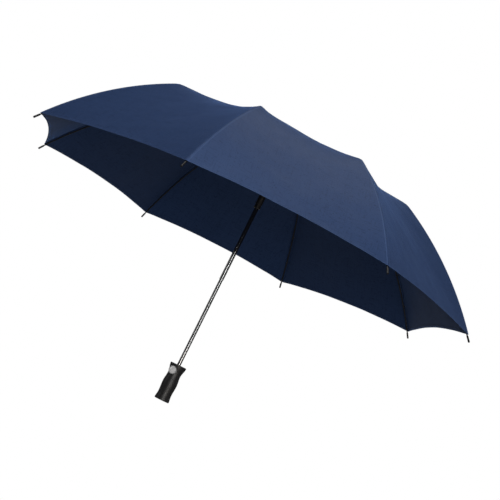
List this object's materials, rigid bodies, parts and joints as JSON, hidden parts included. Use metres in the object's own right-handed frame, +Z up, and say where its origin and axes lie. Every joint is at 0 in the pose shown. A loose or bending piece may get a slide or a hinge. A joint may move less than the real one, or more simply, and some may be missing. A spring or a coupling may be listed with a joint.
{
  "type": "folding umbrella",
  "caption": "Folding umbrella, open: domed fabric canopy on jointed ribs, telescopic shaft, sliding runner and a flared handle with a push button.",
  "frame": {"origin": "centre of the handle's flat end", "axes": "+Z up the shaft to the crown, -Y out of the push button's face, first rib at 10 degrees from +X towards +Y"},
  "size_m": [1.0818, 1.0818, 0.6694],
  "materials": {
    "navy_fabric": "woven polyester pongee, slight sheen",
    "grip_rubber": "soft-touch matte",
    "black_plastic": "moulded",
    "bezel_chrome": "polished",
    "button_silver": "satin silver",
    "spring_steel": "drawn wire",
    "shaft_black": "gloss black lacquer",
    "rib_black": "satin black",
    "rod_black": "pultruded fibreglass with moulded ends",
    "link_steel": "drawn wire"
  },
  "bodies": {
    "handle": {"handle_grip": "grip_rubber", "handle_core": "black_plastic", "end_cap": "black_plastic", "button_bezel": "bezel_chrome", "button_spring": "spring_steel", "lower_tube": "shaft_black", "main_spring": "spring_steel"},
    "button": {"push_button": "button_silver"},
    "upper_shaft": {"upper_tube": "shaft_black", "crown": "black_plastic", "crown_cap": "black_plastic"},
    "runner": {"runner": "black_plastic"},
    "rib_1": {"inner_rib_1": "rib_black", "canopy_inner_1": "navy_fabric"},
    "strut_1": {"stretcher_1": "rib_black"},
    "link_1": {"fold_link_1": "link_steel"},
    "tip_rib_1": {"outer_rib_1": "rod_black", "canopy_outer_1": "navy_fabric"},
    "rib_2": {"inner_rib_2": "rib_black", "canopy_inner_2": "navy_fabric"},
    "strut_2": {"stretcher_2": "rib_black"},
    "link_2": {"fold_link_2": "link_steel"},
    "tip_rib_2": {"outer_rib_2": "rod_black", "canopy_outer_2": "navy_fabric"},
    "rib_3": {"inner_rib_3": "rib_black", "canopy_inner_3": "navy_fabric"},
    "strut_3": {"stretcher_3": "rib_black"},
    "link_3": {"fold_link_3": "link_steel"},
    "tip_rib_3": {"outer_rib_3": "rod_black", "canopy_outer_3": "navy_fabric"},
    "rib_4": {"inner_rib_4": "rib_black", "canopy_inner_4": "navy_fabric"},
    "strut_4": {"stretcher_4": "rib_black"},
    "link_4": {"fold_link_4": "link_steel"},
    "tip_rib_4": {"outer_rib_4": "rod_black", "canopy_outer_4": "navy_fabric"},
    "rib_5": {"inner_rib_5": "rib_black", "canopy_inner_5": "navy_fabric"},
    "strut_5": {"stretcher_5": "rib_black"},
    "link_5": {"fold_link_5": "link_steel"},
    "tip_rib_5": {"outer_rib_5": "rod_black", "canopy_outer_5": "navy_fabric"},
    "rib_6": {"inner_rib_6": "rib_black", "canopy_inner_6": "navy_fabric"},
    "strut_6": {"stretcher_6": "rib_black"},
    "link_6": {"fold_link_6": "link_steel"},
    "tip_rib_6": {"outer_rib_6": "rod_black", "canopy_outer_6": "navy_fabric"},
    "rib_7": {"inner_rib_7": "rib_black", "canopy_inner_7": "navy_fabric"},
    "strut_7": {"stretcher_7": "rib_black"},
    "link_7": {"fold_link_7": "link_steel"},
    "tip_rib_7": {"outer_rib_7": "rod_black", "canopy_outer_7": "navy_fabric"},
    "rib_8": {"inner_rib_8": "rib_black", "canopy_inner_8": "navy_fabric"},
    "strut_8": {"stretcher_8": "rib_black"},
    "link_8": {"fold_link_8": "link_steel"},
    "tip_rib_8": {"outer_rib_8": "rod_black", "canopy_outer_8": "navy_fabric"}
  },
  "joints": [
    {"name": "button_press", "type": "slide", "parent": "handle", "child": "button", "axis": [0, 1, 0], "range_m": [0, 0.0022], "stiffness_N_per_m": 900, "springref_m": -0.003, "deforming": ["button_spring"]},
    {"name": "shaft_slide", "type": "slide", "parent": "handle", "child": "upper_shaft", "axis": [0, 0, 1], "range_m": [-0.2155, 0], "stiffness_N_per_m": 120, "springref_m": 0.2, "deforming": ["main_spring"]},
    {"name": "runner_slide", "type": "slide", "parent": "upper_shaft", "child": "runner", "axis": [0, 0, 1], "range_m": [-0.20486, 0], "stiffness_N_per_m": 120, "springref_m": 0.2, "deforming": ["canopy_inner_1", "canopy_outer_1", "canopy_inner_2", "canopy_outer_2", "canopy_inner_3", "canopy_outer_3", "canopy_inner_4", "canopy_outer_4", "canopy_inner_5", "canopy_outer_5", "canopy_inner_6", "canopy_outer_6", "canopy_inner_7", "canopy_outer_7", "canopy_inner_8", "canopy_outer_8"]},
    {"name": "rib_1_hinge", "type": "hinge", "parent": "upper_shaft", "child": "rib_1", "pos_m": [0.01379, 0.00243, 0.6515], "axis": [-0.1736, 0.9848, 0], "range_deg": [0, 81.01]},
    {"name": "strut_1_hinge", "type": "hinge", "parent": "rib_1", "child": "strut_1", "pos_m": [0.1595, 0.02812, 0.62646], "axis": [0.1736, -0.9848, 0], "range_deg": [0, 137.26]},
    {"name": "link_1_hinge", "type": "hinge", "parent": "strut_1", "child": "link_1", "pos_m": [0.15458, 0.02726, 0.62313], "axis": [-0.1736, 0.9848, 0], "range_deg": [0, 136.54]},
    {"name": "tip_rib_1_hinge", "type": "hinge", "parent": "rib_1", "child": "tip_rib_1", "pos_m": [0.29701, 0.05237, 0.61411], "axis": [0.1736, -0.9848, 0], "range_deg": [0, 206.89]},
    {"name": "rib_2_hinge", "type": "hinge", "parent": "upper_shaft", "child": "rib_2", "pos_m": [0.00803, 0.01147, 0.6515], "axis": [-0.8192, 0.5736, 0], "range_deg": [0, 81.01]},
    {"name": "strut_2_hinge", "type": "hinge", "parent": "rib_2", "child": "strut_2", "pos_m": [0.09289, 0.13267, 0.62646], "axis": [0.8192, -0.5736, 0], "range_deg": [0, 137.26]},
    {"name": "link_2_hinge", "type": "hinge", "parent": "strut_2", "child": "link_2", "pos_m": [0.09003, 0.12858, 0.62313], "axis": [-0.8192, 0.5736, 0], "range_deg": [0, 136.54]},
    {"name": "tip_rib_2_hinge", "type": "hinge", "parent": "rib_2", "child": "tip_rib_2", "pos_m": [0.17299, 0.24705, 0.61411], "axis": [0.8192, -0.5736, 0], "range_deg": [0, 206.89]},
    {"name": "rib_3_hinge", "type": "hinge", "parent": "upper_shaft", "child": "rib_3", "pos_m": [-0.00243, 0.01379, 0.6515], "axis": [-0.9848, -0.1736, 0], "range_deg": [0, 81.01]},
    {"name": "strut_3_hinge", "type": "hinge", "parent": "rib_3", "child": "strut_3", "pos_m": [-0.02812, 0.1595, 0.62646], "axis": [0.9848, 0.1736, 0], "range_deg": [0, 137.26]},
    {"name": "link_3_hinge", "type": "hinge", "parent": "strut_3", "child": "link_3", "pos_m": [-0.02726, 0.15458, 0.62313], "axis": [-0.9848, -0.1736, 0], "range_deg": [0, 136.54]},
    {"name": "tip_rib_3_hinge", "type": "hinge", "parent": "rib_3", "child": "tip_rib_3", "pos_m": [-0.05237, 0.29701, 0.61411], "axis": [0.9848, 0.1736, 0], "range_deg": [0, 206.89]},
    {"name": "rib_4_hinge", "type": "hinge", "parent": "upper_shaft", "child": "rib_4", "pos_m": [-0.01147, 0.00803, 0.6515], "axis": [-0.5736, -0.8192, 0], "range_deg": [0, 81.01]},
    {"name": "strut_4_hinge", "type": "hinge", "parent": "rib_4", "child": "strut_4", "pos_m": [-0.13267, 0.09289, 0.62646], "axis": [0.5736, 0.8192, 0], "range_deg": [0, 137.26]},
    {"name": "link_4_hinge", "type": "hinge", "parent": "strut_4", "child": "link_4", "pos_m": [-0.12858, 0.09003, 0.62313], "axis": [-0.5736, -0.8192, 0], "range_deg": [0, 136.54]},
    {"name": "tip_rib_4_hinge", "type": "hinge", "parent": "rib_4", "child": "tip_rib_4", "pos_m": [-0.24705, 0.17299, 0.61411], "axis": [0.5736, 0.8192, 0], "range_deg": [0, 206.89]},
    {"name": "rib_5_hinge", "type": "hinge", "parent": "upper_shaft", "child": "rib_5", "pos_m": [-0.01379, -0.00243, 0.6515], "axis": [0.1736, -0.9848, 0], "range_deg": [0, 81.01]},
    {"name": "strut_5_hinge", "type": "hinge", "parent": "rib_5", "child": "strut_5", "pos_m": [-0.1595, -0.02812, 0.62646], "axis": [-0.1736, 0.9848, 0], "range_deg": [0, 137.26]},
    {"name": "link_5_hinge", "type": "hinge", "parent": "strut_5", "child": "link_5", "pos_m": [-0.15458, -0.02726, 0.62313], "axis": [0.1736, -0.9848, 0], "range_deg": [0, 136.54]},
    {"name": "tip_rib_5_hinge", "type": "hinge", "parent": "rib_5", "child": "tip_rib_5", "pos_m": [-0.29701, -0.05237, 0.61411], "axis": [-0.1736, 0.9848, 0], "range_deg": [0, 206.89]},
    {"name": "rib_6_hinge", "type": "hinge", "parent": "upper_shaft", "child": "rib_6", "pos_m": [-0.00803, -0.01147, 0.6515], "axis": [0.8192, -0.5736, 0], "range_deg": [0, 81.01]},
    {"name": "strut_6_hinge", "type": "hinge", "parent": "rib_6", "child": "strut_6", "pos_m": [-0.09289, -0.13267, 0.62646], "axis": [-0.8192, 0.5736, 0], "range_deg": [0, 137.26]},
    {"name": "link_6_hinge", "type": "hinge", "parent": "strut_6", "child": "link_6", "pos_m": [-0.09003, -0.12858, 0.62313], "axis": [0.8192, -0.5736, 0], "range_deg": [0, 136.54]},
    {"name": "tip_rib_6_hinge", "type": "hinge", "parent": "rib_6", "child": "tip_rib_6", "pos_m": [-0.17299, -0.24705, 0.61411], "axis": [-0.8192, 0.5736, 0], "range_deg": [0, 206.89]},
    {"name": "rib_7_hinge", "type": "hinge", "parent": "upper_shaft", "child": "rib_7", "pos_m": [0.00243, -0.01379, 0.6515], "axis": [0.9848, 0.1736, 0], "range_deg": [0, 81.01]},
    {"name": "strut_7_hinge", "type": "hinge", "parent": "rib_7", "child": "strut_7", "pos_m": [0.02812, -0.1595, 0.62646], "axis": [-0.9848, -0.1736, 0], "range_deg": [0, 137.26]},
    {"name": "link_7_hinge", "type": "hinge", "parent": "strut_7", "child": "link_7", "pos_m": [0.02726, -0.15458, 0.62313], "axis": [0.9848, 0.1736, 0], "range_deg": [0, 136.54]},
    {"name": "tip_rib_7_hinge", "type": "hinge", "parent": "rib_7", "child": "tip_rib_7", "pos_m": [0.05237, -0.29701, 0.61411], "axis": [-0.9848, -0.1736, 0], "range_deg": [0, 206.89]},
    {"name": "rib_8_hinge", "type": "hinge", "parent": "upper_shaft", "child": "rib_8", "pos_m": [0.01147, -0.00803, 0.6515], "axis": [0.5736, 0.8192, 0], "range_deg": [0, 81.01]},
    {"name": "strut_8_hinge", "type": "hinge", "parent": "rib_8", "child": "strut_8", "pos_m": [0.13267, -0.09289, 0.62646], "axis": [-0.5736, -0.8192, 0], "range_deg": [0, 137.26]},
    {"name": "link_8_hinge", "type": "hinge", "parent": "strut_8", "child": "link_8", "pos_m": [0.12858, -0.09003, 0.62313], "axis": [0.5736, 0.8192, 0], "range_deg": [0, 136.54]},
    {"name": "tip_rib_8_hinge", "type": "hinge", "parent": "rib_8", "child": "tip_rib_8", "pos_m": [0.24705, -0.17299, 0.61411], "axis": [-0.5736, -0.8192, 0], "range_deg": [0, 206.89]}
  ],
  "couplings": [
    {"joint": "rib_1_hinge", "follows": "runner_slide", "rad_per_m": -6.9009},
    {"joint": "strut_1_hinge", "follows": "runner_slide", "rad_per_m": -11.693},
    {"joint": "link_1_hinge", "follows": "runner_slide", "rad_per_m": -11.631},
    {"joint": "tip_rib_1_hinge", "follows": "runner_slide", "rad_per_m": -17.625},
    {"joint": "rib_2_hinge", "follows": "runner_slide", "rad_per_m": -6.9009},
    {"joint": "strut_2_hinge", "follows": "runner_slide", "rad_per_m": -11.693},
    {"joint": "link_2_hinge", "follows": "runner_slide", "rad_per_m": -11.631},
    {"joint": "tip_rib_2_hinge", "follows": "runner_slide", "rad_per_m": -17.625},
    {"joint": "rib_3_hinge", "follows": "runner_slide", "rad_per_m": -6.9009},
    {"joint": "strut_3_hinge", "follows": "runner_slide", "rad_per_m": -11.693},
    {"joint": "link_3_hinge", "follows": "runner_slide", "rad_per_m": -11.631},
    {"joint": "tip_rib_3_hinge", "follows": "runner_slide", "rad_per_m": -17.625},
    {"joint": "rib_4_hinge", "follows": "runner_slide", "rad_per_m": -6.9009},
    {"joint": "strut_4_hinge", "follows": "runner_slide", "rad_per_m": -11.693},
    {"joint": "link_4_hinge", "follows": "runner_slide", "rad_per_m": -11.631},
    {"joint": "tip_rib_4_hinge", "follows": "runner_slide", "rad_per_m": -17.625},
    {"joint": "rib_5_hinge", "follows": "runner_slide", "rad_per_m": -6.9009},
    {"joint": "strut_5_hinge", "follows": "runner_slide", "rad_per_m": -11.693},
    {"joint": "link_5_hinge", "follows": "runner_slide", "rad_per_m": -11.631},
    {"joint": "tip_rib_5_hinge", "follows": "runner_slide", "rad_per_m": -17.625},
    {"joint": "rib_6_hinge", "follows": "runner_slide", "rad_per_m": -6.9009},
    {"joint": "strut_6_hinge", "follows": "runner_slide", "rad_per_m": -11.693},
    {"joint": "link_6_hinge", "follows": "runner_slide", "rad_per_m": -11.631},
    {"joint": "tip_rib_6_hinge", "follows": "runner_slide", "rad_per_m": -17.625},
    {"joint": "rib_7_hinge", "follows": "runner_slide", "rad_per_m": -6.9009},
    {"joint": "strut_7_hinge", "follows": "runner_slide", "rad_per_m": -11.693},
    {"joint": "link_7_hinge", "follows": "runner_slide", "rad_per_m": -11.631},
    {"joint": "tip_rib_7_hinge", "follows": "runner_slide", "rad_per_m": -17.625},
    {"joint": "rib_8_hinge", "follows": "runner_slide", "rad_per_m": -6.9009},
    {"joint": "strut_8_hinge", "follows": "runner_slide", "rad_per_m": -11.693},
    {"joint": "link_8_hinge", "follows": "runner_slide", "rad_per_m": -11.631},
    {"joint": "tip_rib_8_hinge", "follows": "runner_slide", "rad_per_m": -17.625}
  ]
}
